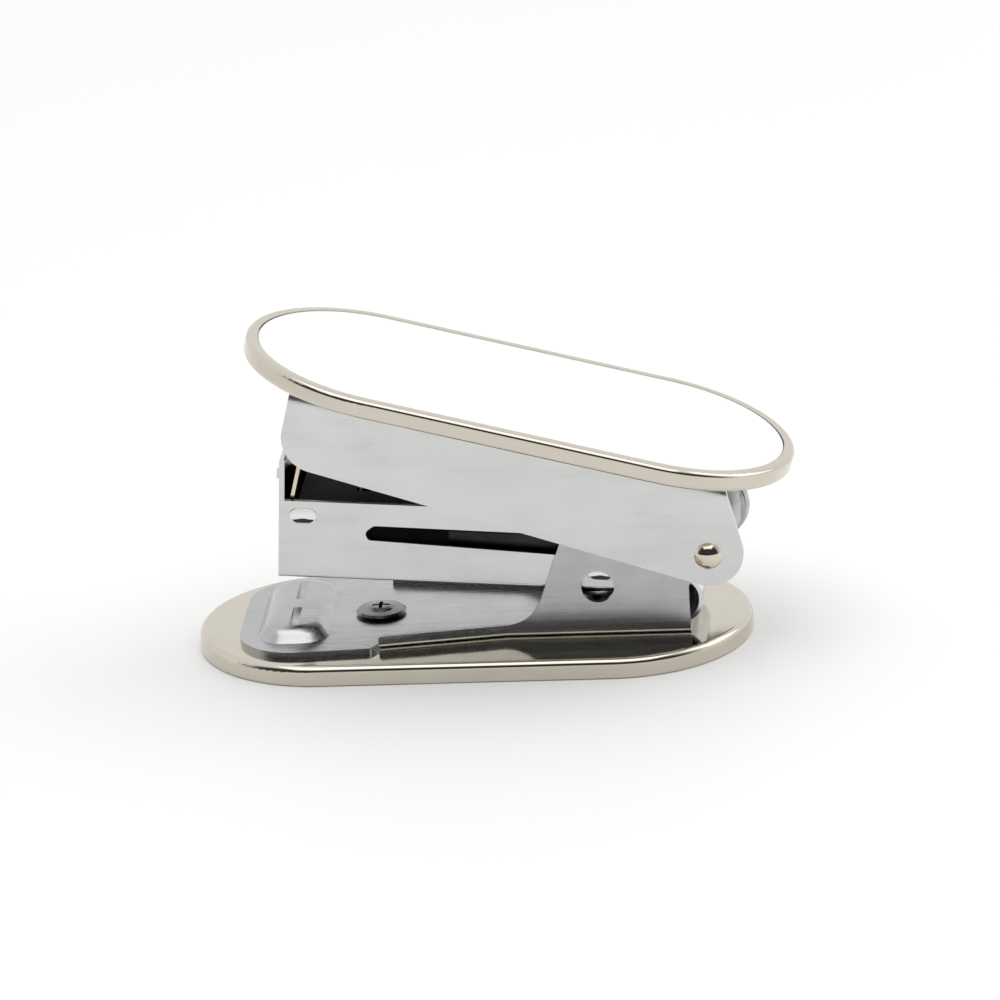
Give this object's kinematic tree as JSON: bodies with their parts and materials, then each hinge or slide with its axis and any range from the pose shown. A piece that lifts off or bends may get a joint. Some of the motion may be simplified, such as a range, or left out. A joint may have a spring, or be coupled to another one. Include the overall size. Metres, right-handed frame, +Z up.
{
  "type": "stapler",
  "caption": "Pocket stapler with two oblong metal plates, a sprung magazine and a sprung handle that pivot together on one rivet at the rear.",
  "frame": {"origin": "centre of the base plate's underside", "axes": "+X along the stapler towards the pivot end, +Z up, +Y across it"},
  "size_m": [0.0766, 0.0336, 0.0418],
  "materials": {
    "plate_metal": "polished, warm nickel tone",
    "bracket_steel": "satin zinc-plated sheet",
    "screw_dark": "dark zinc",
    "spring_steel": "polished",
    "rivet_metal": "polished, warm nickel tone",
    "sheet_chrome": "bright plated sheet",
    "rail_steel": "plated sheet",
    "pusher_plastic": "matte black",
    "pusher_steel": "plain sheet",
    "inlay_white": "satin white coating",
    "adhesive_film": "matte",
    "driver_brass": "light brass-coloured plating"
  },
  "bodies": {
    "base": {"base_plate": "plate_metal", "anvil_bracket": "bracket_steel", "front_screw": "screw_dark", "rear_screw": "screw_dark", "lift_spring": "spring_steel", "pivot_rivet": "rivet_metal"},
    "magazine": {"magazine_channel": "sheet_chrome", "staple_rail": "rail_steel", "guide_rod": "spring_steel", "rod_clip": "spring_steel"},
    "pusher": {"pusher": "pusher_plastic", "pusher_face": "pusher_steel", "pusher_spring": "spring_steel"},
    "handle": {"top_plate": "plate_metal", "top_inlay": "inlay_white", "inlay_film": "adhesive_film", "handle_channel": "sheet_chrome", "driver_blade": "driver_brass", "driver_rivet_front": "rivet_metal", "driver_rivet_rear": "rivet_metal", "handle_spring": "spring_steel"}
  },
  "joints": [
    {"name": "magazine_hinge", "type": "hinge", "parent": "base", "child": "magazine", "pos_m": [0.0305, 0, 0.0132], "axis": [0, 1, 0], "range_deg": [-6.4, 0], "stiffness_Nm_per_rad": 0.5, "springref_deg": 8.59, "deforming": ["lift_spring"]},
    {"name": "handle_hinge", "type": "hinge", "parent": "magazine", "child": "handle", "pos_m": [0.0305, 0, 0.0132], "axis": [0, 1, 0], "range_deg": [-7.8, 75], "stiffness_Nm_per_rad": 0.15, "springref_deg": 5.9, "deforming": ["handle_spring"]},
    {"name": "pusher_slide", "type": "slide", "parent": "magazine", "child": "pusher", "axis": [0.9973, 0, -0.0732], "range_m": [0, 0.024], "stiffness_N_per_m": 40, "springref_m": -0.02, "deforming": ["pusher_spring"]}
  ]
}
